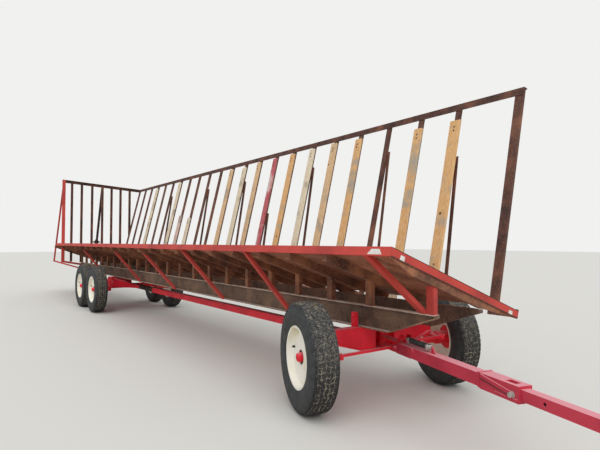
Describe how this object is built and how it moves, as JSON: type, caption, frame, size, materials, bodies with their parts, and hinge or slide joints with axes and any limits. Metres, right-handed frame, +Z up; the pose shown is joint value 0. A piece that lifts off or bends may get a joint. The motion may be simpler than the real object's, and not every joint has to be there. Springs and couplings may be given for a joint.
{
  "type": "hay wagon",
  "caption": "Long tilted-deck bale wagon with a leaning slatted side wall, a slatted rear wall, a steered front axle, tandem rear wheels and a telescoping drawbar.",
  "frame": {"origin": "on the ground at the middle of the wagon's overall length and width", "axes": "+X forward along the sills towards the drawbar, +Y to the left towards the tall side wall, +Z up"},
  "size_m": [17.2942, 2.7876, 3.557],
  "materials": {
    "worn_dark_paint_with_rust": "worn dark paint with rust",
    "rusty_brown_steel": "rusty brown steel",
    "rusted_sheet": "rusted sheet",
    "faded_red_paint": "faded red paint",
    "rusty_brown_steel_2": "rusty brown steel",
    "rusty_brown_steel_3": "rusty brown steel",
    "rusty_red_paint": "rusty red paint",
    "rusty_brown_steel_4": "rusty brown steel",
    "rusty_brown_steel_5": "rusty brown steel",
    "weathered_boards": "weathered boards",
    "rusty_brown_steel_6": "rusty brown steel",
    "rusty_brown_steel_7": "rusty brown steel",
    "faded_red_paint_2": "faded red paint",
    "faded_red_paint_3": "faded red paint",
    "dark_steel": "dark steel",
    "red_paint": "red paint",
    "red_paint_2": "red paint",
    "dark_steel_2": "dark steel",
    "dark_wound_steel": "dark wound steel",
    "red_paint_3": "red paint",
    "worn_forged_steel": "worn forged steel",
    "red_paint_4": "red paint",
    "rubber": "rubber",
    "cream_paint": "cream paint"
  },
  "bodies": {
    "chassis": {"sills": "worn_dark_paint_with_rust", "deck_beams": "rusty_brown_steel", "deck_floor": "rusted_sheet", "edge_rail": "faded_red_paint", "far_rail": "rusty_brown_steel_2", "beam_stubs": "rusty_brown_steel_3", "outrigger_braces": "rusty_red_paint", "wall_bars": "rusty_brown_steel_4", "top_rails": "rusty_brown_steel_5", "wall_planks": "weathered_boards", "wall_struts": "rusty_brown_steel_6", "strut_feet": "rusty_brown_steel_6", "rear_bars": "rusty_brown_steel_7", "corner_post": "faded_red_paint_2", "corner_brace": "faded_red_paint_3", "middle_brace": "dark_steel", "front_axle": "red_paint", "reach_tube": "red_paint_2", "reach_pole": "dark_steel_2", "rear_axle": "red_paint_2", "walking_beams": "red_paint_2"},
    "steering_head": {"steer_head": "red_paint"},
    "tongue": {"tongue_tube": "red_paint", "lift_spring": "dark_wound_steel"},
    "hitch": {"tongue_slider": "red_paint_3", "hitch_eye": "worn_forged_steel"},
    "knuckle_near": {"knuckle_near": "red_paint_2"},
    "knuckle_far": {"knuckle_far": "red_paint_2"},
    "tie_rod_near": {"tie_rod_near": "red_paint_4"},
    "tie_rod_far": {"tie_rod_far": "red_paint_4"},
    "wheel_front_near": {"tyre_front_near": "rubber", "rim_front_near": "cream_paint", "hub_front_near": "red_paint_2"},
    "wheel_front_far": {"tyre_front_far": "rubber", "rim_front_far": "cream_paint", "hub_front_far": "red_paint_2"},
    "wheel_middle_near": {"tyre_middle_near": "rubber", "rim_middle_near": "cream_paint", "hub_middle_near": "red_paint_2"},
    "wheel_middle_far": {"tyre_middle_far": "rubber", "rim_middle_far": "cream_paint", "hub_middle_far": "red_paint_2"},
    "wheel_rear_near": {"tyre_rear_near": "rubber", "rim_rear_near": "cream_paint", "hub_rear_near": "red_paint_2"},
    "wheel_rear_far": {"tyre_rear_far": "rubber", "rim_rear_far": "cream_paint", "hub_rear_far": "red_paint_2"}
  },
  "joints": [
    {"name": "steer", "type": "hinge", "parent": "chassis", "child": "steering_head", "pos_m": [5.84142, -0.20626, 0.59], "axis": [0, 0, 1], "range_deg": [-18.6, 51.4]},
    {"name": "tongue_pitch", "type": "hinge", "parent": "steering_head", "child": "tongue", "pos_m": [6.23954, -0.32343, 0.59], "axis": [0.2823, 0.9593, 0], "range_deg": [-18, 12]},
    {"name": "hitch_slide", "type": "slide", "parent": "tongue", "child": "hitch", "axis": [0.9593, -0.2823, 0], "range_m": [-0.35, 0]},
    {"name": "knuckle_near_yaw", "type": "hinge", "parent": "chassis", "child": "knuckle_near", "pos_m": [5.84142, -0.92626, 0.526], "axis": [0, 0, 1], "range_deg": [-18.6, 51.4]},
    {"name": "tie_rod_near_yaw", "type": "hinge", "parent": "knuckle_near", "child": "tie_rod_near", "pos_m": [6.11963, -1.00814, 0.577], "axis": [0, 0, 1], "range_deg": [-51.4, 18.6]},
    {"name": "wheel_front_near_spin", "type": "hinge", "parent": "knuckle_near", "child": "wheel_front_near", "pos_m": [5.77987, -1.13539, 0.526], "axis": [0.2823, 0.9593, 0], "continuous": true},
    {"name": "knuckle_far_yaw", "type": "hinge", "parent": "chassis", "child": "knuckle_far", "pos_m": [5.84142, 0.51374, 0.526], "axis": [0, 0, 1], "range_deg": [-18.6, 51.4]},
    {"name": "tie_rod_far_yaw", "type": "hinge", "parent": "knuckle_far", "child": "tie_rod_far", "pos_m": [6.11963, 0.43186, 0.603], "axis": [0, 0, 1], "range_deg": [-51.4, 18.6]},
    {"name": "wheel_front_far_spin", "type": "hinge", "parent": "knuckle_far", "child": "wheel_front_far", "pos_m": [5.90297, 0.72287, 0.526], "axis": [0.2823, 0.9593, 0], "continuous": true},
    {"name": "wheel_middle_near_spin", "type": "hinge", "parent": "chassis", "child": "wheel_middle_near", "pos_m": [-2.47258, -1.10426, 0.526], "axis": [0, 1, 0], "continuous": true},
    {"name": "wheel_middle_far_spin", "type": "hinge", "parent": "chassis", "child": "wheel_middle_far", "pos_m": [-2.47258, 0.69174, 0.526], "axis": [0, 1, 0], "continuous": true},
    {"name": "wheel_rear_near_spin", "type": "hinge", "parent": "chassis", "child": "wheel_rear_near", "pos_m": [-3.69458, -1.10426, 0.526], "axis": [0, 1, 0], "continuous": true},
    {"name": "wheel_rear_far_spin", "type": "hinge", "parent": "chassis", "child": "wheel_rear_far", "pos_m": [-3.69458, 0.69174, 0.526], "axis": [0, 1, 0], "continuous": true}
  ],
  "couplings": [
    {"joint": "knuckle_near_yaw", "follows": "steer", "ratio": 1},
    {"joint": "tie_rod_near_yaw", "follows": "steer", "ratio": -1},
    {"joint": "knuckle_far_yaw", "follows": "steer", "ratio": 1},
    {"joint": "tie_rod_far_yaw", "follows": "steer", "ratio": -1}
  ]
}
